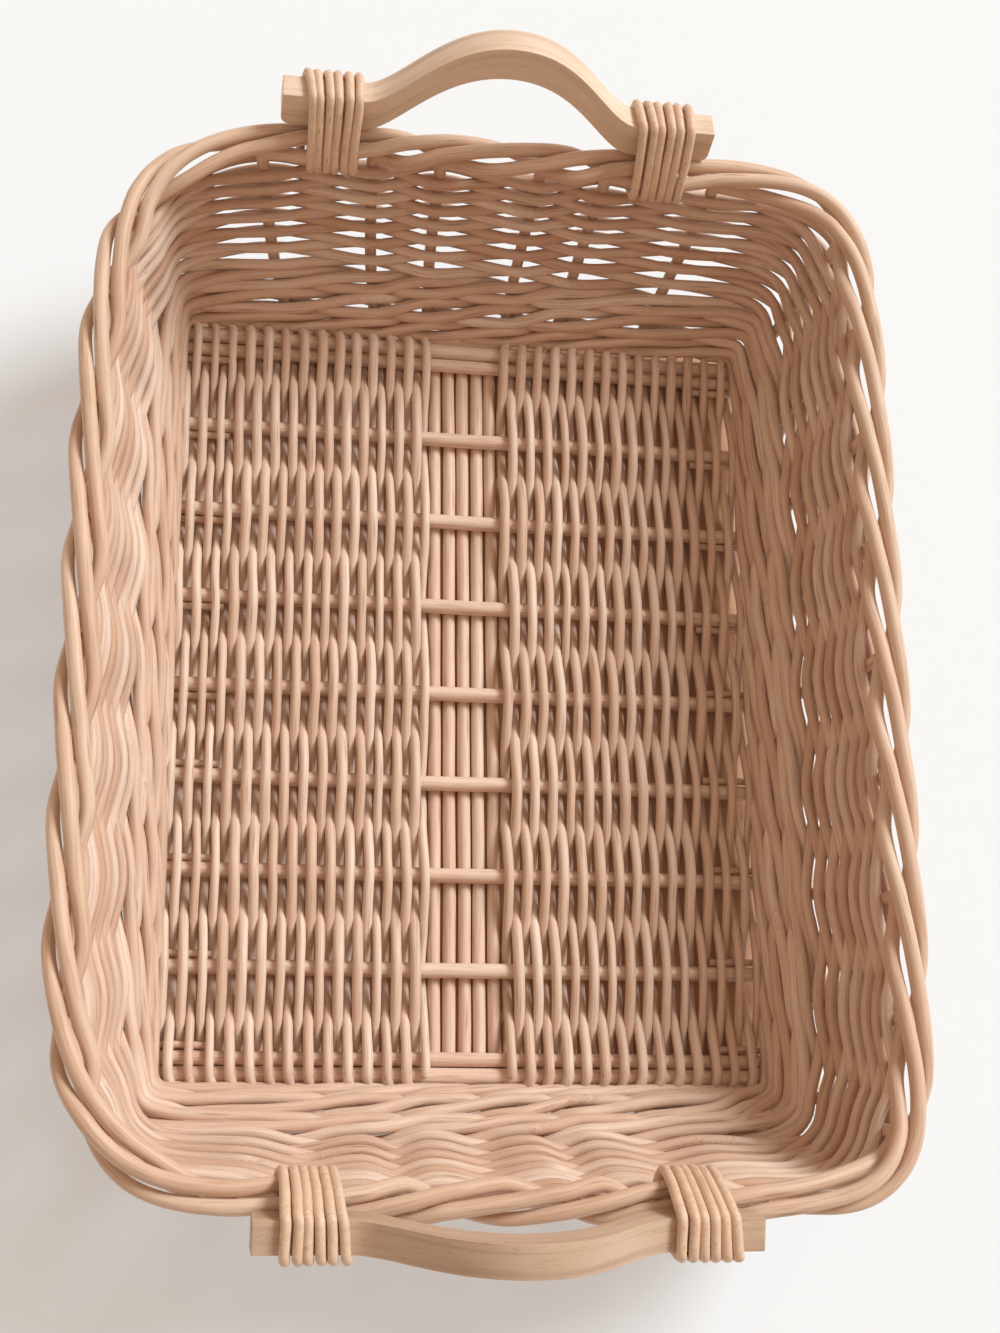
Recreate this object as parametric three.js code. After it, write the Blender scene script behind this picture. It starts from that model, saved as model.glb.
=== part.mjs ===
// A shallow rectangular basket of peeled willow with a bent wood handle at each end.
// Millimetres. X runs across the basket, Y along it and Z up, and the origin is under the middle of the base.
import * as THREE from "three";

// Gap kept between pieces that touch
const gap = 0.35;

// Base: cross sticks, a plain strip of rods down the middle, and a woven mat on each side of it
const baseHalfWidth = 140;
const stickPitch = 44;
const singleSticks = 7;
const stickDiameter = 7;
const innerEndStickDiameter = 6.5;
const outerEndStickDiameter = 8;
const endStickSetback = 4;
const stickEndMargin = 0.8;
const centreRods = 5;
const centreRodPitch = 7;
const centreRodWidth = 5.6;
const centreRodHeight = 4.2;
const centreRodOverhang = 2;
const matRunPitch = 4.375;
const matRodThickness = 3.5;

// Wall: its middle surface rises from a foot outline to a rim outline, both rounded rectangles.
// Its foot stands a little way off the base's sides and its outer end sticks, and its rim flares out from there.
const footOffSide = 6;
const footOffEndStick = 14;
const flareX = 31.5;
const flareY = 42.5;
const footCornerPower = 32;
const rimCornerPower = 8;
const wallBulge = 0.7;
const rimRise = 90;

// Stakes: the upright rods, whose tops are bent over and laid along the rim as the border
const stakeDiameter = 6;
const stakeFootDiameter = 3.4;
const stakeTipDiameter = 3.2;
const longSideFootReach = 24;
const endFootReach = 26;
const endStakeRuns = [0, 6, 16];
const stakeBends = [0.37, 0.64];

// Border: rods pass each other side by side and one over the other, with this much room beside their thickness
const borderRodDiameter = 6.8;
const borderTipDiameter = 4.4;
const borderSideRoom = 0.5;
const borderHeightRoom = 0.4;

// Foot wale: three rods twisted round the stakes, in rows just above the base
const waleRods = 3;
const waleRows = 2;
const waleDiameter = 4.2;
const waleCrossingRoom = 1.1;

// Wall weave: two rods that chase each other round the wall
const weaverDiameter = 3.8;
const weaverRowPitch = 4.3;

// Both kinds of woven rod: room for the bow of a stake, the climb to the next row, and the loose ends
const stakeSlack = 0.6;
const climbStart = 0.36;
const climbEnd = 0.8;
const rodTail = 0.1;

// Handles: bent wood, each lashed to the border at both ends
const handleLength = 202;
const handleDepth = 17;
const handleThickness = 13;
const handleRise = 38;
const handleLean = THREE.MathUtils.degToRad(14.6);
const handleEdge = 1.6;
const handleCorner = 4;
const handleInset = 3.5;
const archFoot = 0.75;
const archTop = 0.53;

// Lashings: round cane wound over the handle's end and the border
const lashingDiameter = 3.5;
const lashingPitch = 4.5;
const lashingTurns = 6;
const lashingSteps = 11;
const lashingOffStake = 2.4;
const archOffLashing = 13;
const lashedStake = 1;

const longSideStakes = singleSticks + 2;
const stripHalfWidth = (centreRods * centreRodPitch) / 2;
const matRuns = Math.floor((baseHalfWidth - stripHalfWidth) / matRunPitch);
const outerEndStickY = ((singleSticks + 1) / 2) * stickPitch + endStickSetback;
const innerEndStickY = outerEndStickY - (innerEndStickDiameter + outerEndStickDiameter) / 2 - gap;
const overStick = (stickDiameter + matRodThickness) / 2 + gap;
const overEndStick = (outerEndStickDiameter + matRodThickness) / 2 + gap;
const floorMiddle = outerEndStickDiameter / 2 + gap + centreRodHeight;
const footHalfX = baseHalfWidth + footOffSide;
const footHalfY = outerEndStickY + footOffEndStick;
const rimHalfX = footHalfX + flareX;
const rimHalfY = footHalfY + flareY;
const rimZ = floorMiddle + rimRise;
const borderSpread = borderRodDiameter + borderSideRoom;
const borderHeight = 2 * borderRodDiameter + borderHeightRoom;

const willow = 0xd9b48f;
const shadedWillow = 0xc39a76;
const beech = 0xd8b596;
const cane = 0xcfab85;

const basket = new THREE.Group();

function addPiece(name, geometry, color, roughness = 0.62) {
  const material = new THREE.MeshStandardMaterial({ color, roughness, metalness: 0 });
  const mesh = new THREE.Mesh(geometry, material);
  mesh.name = name;
  basket.add(mesh);
  return mesh;
}

// A solid rod through a list of points, with its own half width and half height at each one.
// One side of its section faces upVector, and both ends are cut square.
function rodGeometry(points, halfWidths, sides, upVector, flatness = 1) {
  const positions = [];
  const indices = [];
  const direction = new THREE.Vector3();
  const incoming = new THREE.Vector3();
  points.forEach((point, i) => {
    const next = points[Math.min(i + 1, points.length - 1)];
    const last = points[Math.max(i - 1, 0)];
    direction.subVectors(next, point).normalize();
    incoming.subVectors(point, last).normalize();
    direction.add(incoming).normalize();
    const side = new THREE.Vector3().crossVectors(direction, upVector(i)).normalize();
    const up = new THREE.Vector3().crossVectors(side, direction);
    const radius = halfWidths[i] ?? halfWidths[0];
    for (let k = 0; k < sides; k++) {
      const angle = ((k + 0.5) / sides) * 2 * Math.PI + Math.PI / 2;
      const corner = point.clone();
      corner.addScaledVector(side, Math.cos(angle) * radius);
      corner.addScaledVector(up, Math.sin(angle) * radius * flatness);
      positions.push(corner.x, corner.y, corner.z);
    }
  });
  const ring = (i, k) => i * sides + (k % sides);
  for (let i = 0; i + 1 < points.length; i++)
    for (let k = 0; k < sides; k++) {
      indices.push(ring(i, k), ring(i + 1, k), ring(i, k + 1));
      indices.push(ring(i, k + 1), ring(i + 1, k), ring(i + 1, k + 1));
    }
  const end = points.length - 1;
  for (let k = 1; k + 1 < sides; k++) {
    indices.push(ring(0, 0), ring(0, k), ring(0, k + 1));
    indices.push(ring(end, 0), ring(end, k + 1), ring(end, k));
  }
  const geometry = new THREE.BufferGeometry();
  geometry.setAttribute("position", new THREE.Float32BufferAttribute(positions, 3));
  geometry.setIndex(indices);
  geometry.computeVertexNormals();
  return geometry;
}

const worldUp = () => new THREE.Vector3(0, 0, 1);

// Half the diagonal of a square rod of this thickness
const squareReach = (thickness) => (thickness / 2) * Math.SQRT2;

// Thickness of a square rod with the same section as a round one
const asSquare = (diameter) => (diameter * Math.sqrt(Math.PI)) / 2;

// Base

function addStick(name, y, diameter) {
  const length = 2 * (baseHalfWidth - stickEndMargin);
  const geometry = new THREE.CylinderGeometry(diameter / 2, diameter / 2, length, 8);
  const stick = addPiece(name, geometry, willow);
  stick.rotation.z = Math.PI / 2;
  stick.position.set(0, y, floorMiddle);
}

function addCentreRod(name, x) {
  const z = centreRodHeight / 2;
  const y = outerEndStickY + outerEndStickDiameter / 2 + centreRodOverhang;
  const points = [new THREE.Vector3(x, -y, z), new THREE.Vector3(x, y, z)];
  const flat = Math.cos(Math.PI / 8);
  const halfWidth = centreRodWidth / 2 / flat;
  const geometry = rodGeometry(points, [halfWidth], 8, worldUp, centreRodHeight / centreRodWidth);
  addPiece(name, geometry, willow);
}

// Over (1) or under (-1) the stick at this place, counted from the middle one, for one run of a mat
const matSide = (run, stick) => ((run + stick + (singleSticks + 1) / 2) % 2 === 0 ? 1 : -1);

// One long rod goes back and forth over and under the cross sticks, and wraps round the outer end stick at each turn.
// Its section turns over with it at each wrap, so it lies the other way up on every other run.
function addMat(name, side) {
  const points = [];
  const ups = [];
  const half = (singleSticks - 1) / 2;
  const wrap = overEndStick / Math.cos(Math.PI / 6);
  for (let run = 0; run < matRuns; run++) {
    const x = side * matRunX(run);
    const heading = run % 2 === 0 ? 1 : -1;
    const endSide = matSide(run, half + 1);
    const addPoint = (place, y, over, up) => {
      points.push(new THREE.Vector3(place, heading * y, floorMiddle + over));
      ups.push(up.multiplyScalar(heading));
    };
    const onRun = (y, over) => addPoint(x, y, over, new THREE.Vector3(0, 0, 1));
    const atWrap = (place, end, beyond, over) => {
      const up = new THREE.Vector3(0, end * heading * beyond * endSide, over * endSide).normalize();
      addPoint(place, end * (outerEndStickY + beyond), over, up);
    };
    atWrap(x, -1, wrap / 2, endSide * overEndStick);
    onRun(-innerEndStickY, endSide * overEndStick);
    for (let stick = -half; stick <= half; stick++)
      onRun(stick * stickPitch, matSide(run, stick) * overStick);
    onRun(innerEndStickY, endSide * overEndStick);
    atWrap(x, 1, wrap / 2, endSide * overEndStick);
    if (run + 1 < matRuns) atWrap(x + (side * matRunPitch) / 2, 1, wrap, 0);
  }
  addPiece(name, rodGeometry(points, [squareReach(matRodThickness)], 4, (i) => ups[i]), willow);
}

const matRunX = (run) => stripHalfWidth + (run + 0.5) * matRunPitch;

// Wall surface

const footWidth = 2 * footHalfX;
const footLength = 2 * footHalfY;
const footAround = 2 * (footWidth + footLength);

// Distance clockwise along the foot rectangle from its front right corner, for each stake
const endXs = [...endStakeRuns.map((run) => -matRunX(run)).reverse(), ...endStakeRuns.map(matRunX)];
const longSideYs = Array.from({ length: longSideStakes }, (_, i) => (i - (longSideStakes - 1) / 2) * stickPitch);
const stakes = [
  ...endXs.map((x) => ({ side: "front", x: -x, distance: x + footHalfX })),
  ...longSideYs.map((y) => ({ side: "left", y, distance: footWidth + y + footHalfY })),
  ...endXs.map((x) => ({ side: "back", x, distance: footWidth + footLength + x + footHalfX })),
  ...longSideYs.map((y) => ({ side: "right", y: -y, distance: footAround - footLength + y + footHalfY })),
];
const stakeCount = stakes.length;

function stakeDistance(index) {
  const turn = Math.floor(index / stakeCount);
  return stakes[index - turn * stakeCount].distance + turn * footAround;
}

// The point of the foot rectangle at a place counted in stakes, as shares of its half width and half length
function footShare(place) {
  const index = Math.floor(place);
  const distance = THREE.MathUtils.lerp(stakeDistance(index), stakeDistance(index + 1), place - index);
  let left = THREE.MathUtils.euclideanModulo(distance, footAround);
  if (left < footWidth) return new THREE.Vector2(1 - left / footHalfX, -1);
  left -= footWidth;
  if (left < footLength) return new THREE.Vector2(-1, left / footHalfY - 1);
  left -= footLength;
  if (left < footWidth) return new THREE.Vector2(left / footHalfX - 1, 1);
  left -= footWidth;
  return new THREE.Vector2(1, 1 - left / footHalfY);
}

// A rounded rectangle with slightly bowed sides, in the direction of a point of the foot rectangle
function outline(share, halfX, halfY, power) {
  const scale = (Math.abs(share.x) ** power + Math.abs(share.y) ** power) ** (-1 / power);
  return new THREE.Vector2(halfX * scale * share.x, halfY * scale * share.y);
}

// Share of the way from the foot outline to the rim outline at a height
function flare(z) {
  const t = (z - floorMiddle) / rimRise;
  const eased = t < 1 ? 1 - (1 - t) ** 2 : 1;
  return (1 - wallBulge) * t + wallBulge * eased;
}

function middleSurface(place, z) {
  const share = footShare(place);
  const foot = outline(share, footHalfX, footHalfY, footCornerPower);
  const rim = outline(share, rimHalfX, rimHalfY, rimCornerPower);
  foot.lerp(rim, flare(z));
  return new THREE.Vector3(foot.x, foot.y, z);
}

function wallNormal(place, z) {
  const small = 0.01;
  const along = middleSurface(place + small, z).sub(middleSurface(place - small, z));
  const upward = middleSurface(place, z + small).sub(middleSurface(place, z - small));
  return upward.cross(along).normalize();
}

// A point at a place and height of the wall, moved outwards from its middle surface
function wallPoint(place, z, outwards) {
  return middleSurface(place, z).addScaledVector(wallNormal(place, z), outwards);
}

// Places between a stake and the next where a rod bends round a corner: at the corner itself and half way
function cornerBends(index) {
  const from = stakeDistance(index);
  const span = stakeDistance(index + 1) - from;
  const corners = [0, footWidth, footWidth + footLength, footAround - footLength, footAround];
  const turn = Math.floor(index / stakeCount) * footAround;
  const corner = corners.find((at) => at + turn > from && at + turn < from + span);
  if (corner === undefined) return [];
  return [0.5, (corner + turn - from) / span];
}

// Stakes and border

const stakeRadius = stakeDiameter / 2;
const footRadius = stakeFootDiameter / 2;
const borderRadius = borderRodDiameter / 2;
const borderStart = rimZ - borderHeight / 2;

// Each rod bends inwards, passes over the next two stakes slantwise and goes down outside the third,
// so that the rods of three stakes lie side by side
const borderRoute = [
  { step: 0, out: 0, up: 0.2 },
  { step: 0.5, out: -0.9, up: 0.55 },
  { step: 1, out: -0.5, up: 0.86 },
  { step: 1.5, out: 0, up: 1 },
  { step: 2, out: 0.5, up: 0.93 },
  { step: 2.5, out: 1, up: 0.66 },
  { step: 3, out: 1.08, up: 0.34 },
].map(({ step, out, up }) => ({ step, out: out * borderSpread, z: borderStart + up * borderHeight }));

function borderAt(step) {
  const next = borderRoute.find((key) => key.step > step) ?? borderRoute.at(-1);
  const last = borderRoute[borderRoute.indexOf(next) - 1];
  const share = Math.min(1, (step - last.step) / (next.step - last.step));
  return {
    out: THREE.MathUtils.lerp(last.out, next.out, share),
    z: THREE.MathUtils.lerp(last.z, next.z, share),
  };
}

// Stakes of the long sides are pushed in beside a cross stick, between the over and under runs of the mat
function longSideFoot(stake) {
  const outward = stake.side === "right" ? 1 : -1;
  const stickNumber = Math.round(stake.y / stickPitch);
  const atEnd = Math.abs(stickNumber) === (longSideStakes - 1) / 2;
  const besideY = atEnd ? Math.sign(stickNumber) * innerEndStickY : stake.y;
  const besideDiameter = atEnd ? innerEndStickDiameter : stickDiameter;
  const towardsMiddle = stickNumber === 0 ? outward : -Math.sign(stickNumber);
  const y = besideY + towardsMiddle * (besideDiameter / 2 + gap + footRadius);
  const point = (x, bendY, z) => new THREE.Vector3(outward * x, bendY, z);
  return [
    point(baseHalfWidth - longSideFootReach, y, floorMiddle),
    point(baseHalfWidth, y, floorMiddle),
    point(footHalfX - gap, (y + stake.y) / 2, floorMiddle + gap),
  ];
}

// Stakes of the ends are pushed in under the end sticks, below a run that goes over them
function endFoot(stake) {
  const outward = stake.side === "back" ? 1 : -1;
  const z = floorMiddle - outerEndStickDiameter / 2 - gap - footRadius;
  const point = (y) => new THREE.Vector3(stake.x, outward * y, z);
  return [point(outerEndStickY - endFootReach), point(outerEndStickY), point(footHalfY - stakeDiameter)];
}

function addStake(index) {
  const stake = stakes[index];
  const onLongSide = stake.side === "left" || stake.side === "right";
  const points = onLongSide ? longSideFoot(stake) : endFoot(stake);
  const radii = [stakeTipDiameter / 2, footRadius, footRadius];
  const places = [index, index, index];
  const bendTop = floorMiddle + stakeDiameter * (onLongSide ? 1.5 : 1);
  for (const z of [bendTop, ...stakeBends.map((share) => floorMiddle + rimRise * share)]) {
    points.push(wallPoint(index, z, 0));
    radii.push(stakeRadius);
    places.push(index);
  }
  const steps = borderRoute.map((key) => key.step);
  for (const between of [0, 1, 2])
    steps.push(...cornerBends(index + between).map((bend) => between + bend));
  for (const step of steps.sort((a, b) => a - b)) {
    const { out, z } = borderAt(step);
    points.push(wallPoint(index + step, z, out));
    radii.push(THREE.MathUtils.lerp(borderRadius, borderTipDiameter / 2, Math.max(0, step - 2)));
    places.push(index + step);
  }
  const number = stakes.slice(0, index + 1).filter((other) => other.side === stake.side).length;
  const facing = (i) => wallNormal(places[i], rimZ);
  addPiece(`stake_${stake.side}_${number}`, rodGeometry(points, radii, 5, facing), willow);
}

// Rows of weaving

// Rows stay level, and each rod climbs to its next row in the last gap before the front right corner
function turnsClimbed(place) {
  const turn = Math.floor(place / stakeCount);
  const intoLastGap = place - turn * stakeCount - (stakeCount - 1);
  const share = (intoLastGap - climbStart) / (climbEnd - climbStart);
  return turn + THREE.MathUtils.clamp(share, 0, 1);
}

// Places along a rod that winds round the wall: every stake, and between them where the rod bends
function placesAlong(turns, crossesAfter) {
  const places = [];
  const last = turns * stakeCount - 1;
  for (let place = 0; place < last; place++) {
    const bends = new Set(cornerBends(place));
    if (place % stakeCount === stakeCount - 1) bends.add(climbStart).add(climbEnd);
    if (crossesAfter(place)) bends.add(0.5);
    places.push(place, ...[...bends].sort((a, b) => a - b).map((bend) => place + bend));
  }
  return [-rodTail, ...places, last, last + rodTail];
}

// The three wale rods pass inside two stakes, over the other rods, outside one stake and in below them
const waleOut = stakeRadius + gap + stakeSlack + waleDiameter / 2;
const waleRoute = [
  [-1, -1],
  [-1, 0],
  [-1, 1],
  [0, 1],
  [1, 0],
  [0, -1],
];
const waleStep = (waleDiameter + gap) / 2 + waleCrossingRoom;
const waleRowPitch = 2 * waleStep + waleDiameter + gap;
const waleFirstZ = floorMiddle + footRadius + waleDiameter / 2 + gap + waleStep;

function waleAt(place, rod) {
  const period = waleRoute.length;
  const along = (((place + rod) * 2) % period + period) % period;
  const key = Math.floor(along);
  const [out, up] = waleRoute[key];
  const [nextOut, nextUp] = waleRoute[(key + 1) % period];
  const share = along - key;
  return [THREE.MathUtils.lerp(out, nextOut, share), THREE.MathUtils.lerp(up, nextUp, share)];
}

function addWaleRod(rod) {
  const crossesHere = (place) => (place + rod) % waleRods !== 0;
  const places = placesAlong(waleRows, crossesHere);
  const points = places.map((place) => {
    const [out, up] = waleAt(place, rod);
    return wallPoint(place, waleFirstZ + turnsClimbed(place) * waleRowPitch + up * waleStep, out * waleOut);
  });
  const facing = (i) => wallNormal(places[i], waleFirstZ);
  const geometry = rodGeometry(points, [squareReach(asSquare(waleDiameter))], 4, facing);
  addPiece(`foot_wale_rod_${rod + 1}`, geometry, shadedWillow);
}

const weaverOut = stakeRadius + gap + stakeSlack + weaverDiameter / 2;
const waleTop = waleFirstZ + (waleRows - 1) * waleRowPitch + waleStep + waleDiameter / 2;
const weaverFirstZ = waleTop + gap + weaverDiameter / 2;

// As many turns as fit under the lashings, which pass under the border
const lashingUnderside = Math.min(...borderRoute.map((key) => key.z)) - borderRadius - gap - lashingDiameter;
const weaverLastZ = lashingUnderside - gap - weaverDiameter / 2;
const weaverTurns = Math.floor(((weaverLastZ - weaverFirstZ) / weaverRowPitch + 1) / 2);

// Outside every other stake and inside the ones between, with the two rods on opposite sides of each stake
function addWeaver(rod) {
  const side = (place) => {
    const index = Math.floor(place);
    const sign = (index + rod) % 2 === 0 ? 1 : -1;
    return sign * (1 - 2 * (place - index));
  };
  const places = placesAlong(weaverTurns, () => false);
  const points = places.map((place) => {
    const z = weaverFirstZ + (rod + 2 * turnsClimbed(place)) * weaverRowPitch;
    return wallPoint(place, z, side(place) * weaverOut);
  });
  const facing = (i) => wallNormal(places[i], points[i].z);
  const geometry = rodGeometry(points, [squareReach(asSquare(weaverDiameter))], 4, facing);
  addPiece(`wall_weaver_${rod + 1}`, geometry, willow);
}

// Each lashing stands just beside a stake of the end wall, and the arch rises between the two lashings
const lashedStakeX = (matRunX(endStakeRuns[lashedStake]) * rimHalfX) / footHalfX;
const lashingWidth = lashingTurns * lashingPitch + lashingDiameter;
const lashingCentre = lashedStakeX + borderRadius + lashingOffStake + lashingWidth / 2;
const handleArchHalf = lashingCentre - archOffLashing;

// Handles and lashings, drawn in a section square to the rim: x outwards from the border's middle, y up

const handleUp = new THREE.Vector2(Math.sin(handleLean), Math.cos(handleLean));
const handleOut = new THREE.Vector2(Math.cos(handleLean), -Math.sin(handleLean));
const borderSection = borderRoute.map(({ out, z }) => new THREE.Vector2(out, z));

// Corners of the handle's end for a height of its inner lower edge
function handleCorners(z) {
  const corner = new THREE.Vector2(handleInset, z);
  const across = handleOut.clone().multiplyScalar(handleThickness);
  const up = handleUp.clone().multiplyScalar(handleDepth);
  return [corner, corner.clone().add(across), corner.clone().add(up), corner.clone().add(across).add(up)];
}

// Height at which the underside of the handle just clears the border rods
function seatHeight() {
  let height = borderStart;
  for (let i = 0; i + 1 < borderSection.length; i++)
    for (let share = 0; share <= 1; share += 0.1) {
      const rod = borderSection[i].clone().lerp(borderSection[i + 1], share);
      const reach = borderRadius + gap;
      const before = handleInset - rod.x;
      if (before > reach) continue;
      const needed = before > 0 ? Math.sqrt(reach ** 2 - before ** 2) : reach / handleUp.y;
      const drop = before > 0 ? 0 : -before * Math.tan(handleLean);
      height = Math.max(height, rod.y + needed + drop);
    }
  return height;
}
const handleSeat = seatHeight();

function handleGeometry() {
  const half = handleLength / 2;
  const shape = new THREE.Shape();
  const foot = handleArchHalf * archFoot;
  const top = handleArchHalf * archTop;
  shape.moveTo(-half + handleCorner, 0);
  shape.lineTo(-handleArchHalf, 0);
  shape.bezierCurveTo(-foot, 0, -top, handleRise, 0, handleRise);
  shape.bezierCurveTo(top, handleRise, foot, 0, handleArchHalf, 0);
  shape.lineTo(half - handleCorner, 0);
  shape.quadraticCurveTo(half, 0, half, handleCorner);
  shape.lineTo(half, handleDepth);
  shape.lineTo(handleArchHalf, handleDepth);
  shape.bezierCurveTo(foot, handleDepth, top, handleDepth + handleRise, 0, handleDepth + handleRise);
  shape.bezierCurveTo(-top, handleDepth + handleRise, -foot, handleDepth, -handleArchHalf, handleDepth);
  shape.lineTo(-half, handleDepth);
  shape.lineTo(-half, handleCorner);
  shape.quadraticCurveTo(-half, 0, -half + handleCorner, 0);
  return new THREE.ExtrudeGeometry(shape, {
    depth: handleThickness - 2 * handleEdge,
    bevelThickness: handleEdge,
    bevelSize: handleEdge,
    bevelOffset: -handleEdge,
    bevelSegments: 1,
    curveSegments: 7,
  });
}

// A loop of straight steps, each touching the round of the border and handle from outside
function lashingLoop() {
  const corners = handleCorners(handleSeat);
  const clear = gap + lashingDiameter / 2;
  const reach = (angle) => {
    const towards = new THREE.Vector2(Math.cos(angle), Math.sin(angle));
    const border = Math.max(...borderSection.map((rod) => rod.dot(towards))) + borderRadius;
    return Math.max(border, ...corners.map((corner) => corner.dot(towards))) + clear;
  };
  const stepAngle = (2 * Math.PI) / lashingSteps;
  return Array.from({ length: lashingSteps }, (_, i) => {
    const first = i * stepAngle - Math.PI / 2;
    const a = reach(first);
    const b = reach(first + stepAngle);
    const along = (b - a * Math.cos(stepAngle)) / Math.sin(stepAngle);
    return new THREE.Vector2(
      a * Math.cos(first) - along * Math.sin(first),
      a * Math.sin(first) + along * Math.cos(first),
    );
  });
}

// One cane winds over the handle's end and under the border, and its loops lie side by side
function lashingPoints(centreX) {
  const loop = lashingLoop();
  const steps = lashingTurns * lashingSteps;
  return Array.from({ length: steps + 1 }, (_, i) => {
    const corner = loop[i % lashingSteps];
    const x = centreX + (i / lashingSteps - lashingTurns / 2) * lashingPitch;
    return new THREE.Vector3(x, rimHalfY + corner.x, corner.y);
  });
}

// Least gap between stretches of one rod that are more than half a loop apart
function leastGap(points, diameter) {
  const apart = Math.ceil(lashingSteps / 2);
  let least = Infinity;
  const onSegment = new THREE.Vector3();
  for (let i = 0; i + 1 < points.length; i++) {
    const segment = new THREE.Line3(points[i], points[i + 1]);
    for (let k = i + apart; k < points.length; k++)
      for (const other of [points[k], points[k].clone().lerp(points[k - 1], 0.5)]) {
        segment.closestPointToPoint(other, true, onSegment);
        least = Math.min(least, onSegment.distanceTo(other));
      }
  }
  return least - diameter;
}

function addEnd(endName, turn) {
  const end = new THREE.Group();
  end.rotation.z = turn;
  basket.add(end);
  const handle = addPiece(`handle_${endName}`, handleGeometry(), beech, 0.5);
  handle.rotation.x = Math.PI / 2 - handleLean;
  const inner = handleThickness - handleEdge;
  handle.position.set(
    0,
    rimHalfY + handleInset + handleOut.x * inner,
    handleSeat + handleOut.y * inner,
  );
  end.add(handle);
  for (const side of [-1, 1]) {
    const points = lashingPoints(side * lashingCentre);
    const section = new THREE.Vector3(1, 0, 0);
    const geometry = rodGeometry(points, [lashingDiameter / 2], 5, () => section);
    const isLeft = side * Math.cos(turn) < 0;
    end.add(addPiece(`lashing_${endName}_${isLeft ? "left" : "right"}`, geometry, cane));
  }
}

for (let i = 0; i < singleSticks; i++)
  addStick(`cross_stick_${i + 1}`, (i - (singleSticks - 1) / 2) * stickPitch, stickDiameter);
for (const [endName, direction] of [["front", -1], ["back", 1]]) {
  addStick(`end_stick_${endName}_inner`, direction * innerEndStickY, innerEndStickDiameter);
  addStick(`end_stick_${endName}_outer`, direction * outerEndStickY, outerEndStickDiameter);
}
for (let i = 0; i < centreRods; i++)
  addCentreRod(`centre_rod_${i + 1}`, (i - (centreRods - 1) / 2) * centreRodPitch);
addMat("base_mat_left", -1);
addMat("base_mat_right", 1);
for (let i = 0; i < stakeCount; i++) addStake(i);
for (let rod = 0; rod < waleRods; rod++) addWaleRod(rod);
for (let rod = 0; rod < 2; rod++) addWeaver(rod);
addEnd("back", 0);
addEnd("front", Math.PI);

const lashingGap = leastGap(lashingPoints(0), lashingDiameter);
console.log(`least gap of a lashing to itself: ${lashingGap.toFixed(2)} mm`);

export default basket;
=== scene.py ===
"""Looks of a shallow willow basket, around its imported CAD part.

Lengths are in millimetres. They become metres where a mesh is made or a node tree is set.
"""

import math
import random
from collections import namedtuple

import bmesh
import bpy
from mathutils import Euler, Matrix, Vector


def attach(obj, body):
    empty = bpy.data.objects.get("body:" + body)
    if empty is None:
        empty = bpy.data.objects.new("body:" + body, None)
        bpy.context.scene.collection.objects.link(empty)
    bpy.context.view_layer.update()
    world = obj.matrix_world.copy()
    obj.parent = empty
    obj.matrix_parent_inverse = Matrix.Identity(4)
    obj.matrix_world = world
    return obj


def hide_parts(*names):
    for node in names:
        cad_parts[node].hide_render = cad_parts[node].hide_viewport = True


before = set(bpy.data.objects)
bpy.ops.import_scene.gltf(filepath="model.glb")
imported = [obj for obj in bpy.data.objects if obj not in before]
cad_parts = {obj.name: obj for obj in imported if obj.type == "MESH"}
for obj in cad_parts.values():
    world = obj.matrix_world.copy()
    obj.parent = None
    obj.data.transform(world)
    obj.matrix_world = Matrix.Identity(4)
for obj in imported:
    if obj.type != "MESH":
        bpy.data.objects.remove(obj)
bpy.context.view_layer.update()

MM = 0.001
draw = random.Random(41)

# Sizes of the CAD part
GAP = 0.35
BASE_HALF_WIDTH = 140
STICK_PITCH = 44
SINGLE_STICKS = 7
STICK = 7
INNER_END_STICK = 6.5
OUTER_END_STICK = 8
END_STICK_SETBACK = 4
STICK_END_MARGIN = 0.8
CENTRE_RODS = 5
CENTRE_ROD_PITCH = 7
CENTRE_ROD_WIDTH = 5.6
CENTRE_ROD_HEIGHT = 4.2
CENTRE_ROD_OVERHANG = 2
MAT_RUN_PITCH = 4.375
MAT_ROD = 3.5
FOOT_CORNER_POWER = 32
WALL_BULGE = 0.7
RIM_RISE = 90
STAKE = 6
STAKE_FOOT = 3.4
LONG_SIDE_FOOT_REACH = 24
END_FOOT_REACH = 26
END_STAKE_RUNS = (0, 6, 16)
BORDER_ROD = 6.8
BORDER_TIP = 4.4
BORDER_SIDE_ROOM = 0.5
BORDER_HEIGHT_ROOM = 0.4
WALE_RODS = 3
WALE_ROD = 4.2
WEAVERS = 2
WEAVER = 3.8
CLIMB_START = 0.36
CLIMB_END = 0.8
HANDLE_LENGTH = 202
HANDLE_DEPTH = 17
HANDLE_THICKNESS = 13
HANDLE_RISE = 38
HANDLE_LEAN = math.radians(14.6)
HANDLE_CORNER = 4
HANDLE_INSET = 3.5
ARCH_FOOT = 0.75
ARCH_TOP = 0.53
LASHING = 3.5
LASHING_PITCH = 4.5
LASHING_TURNS = 6
LASHING_OFF_STAKE = 2.4
ARCH_OFF_LASHING = 13
LASHED_STAKE = 1

# Sizes that differ from the CAD part's, whose own value stands beside them
FOOT_OFF_SIDE = 5  # 6
FOOT_OFF_END_STICK = 10.5  # 14
FLARE_X = 32.5  # 31.5
FLARE_Y = 46  # 42.5
WALE_ROWS = 3  # 2
WEAVER_ROW_PITCH = 4  # 4.3
WEAVER_TURNS = 7  # 6
START_TAIL = 0.7  # 0.1
END_TAIL = 0.85  # 0.1
HANDLE_EDGE = 2.6  # 1.6
LASHING_STEPS = 22  # 11
# The photograph shows rounder corners of the rim on the left and sharper ones on the right
RIM_CORNER_POWERS = {  # 8
    ("left", "front"): 6,
    ("left", "back"): 5.2,
    ("right", "front"): 9.5,
    ("right", "back"): 9.5,
}

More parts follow.
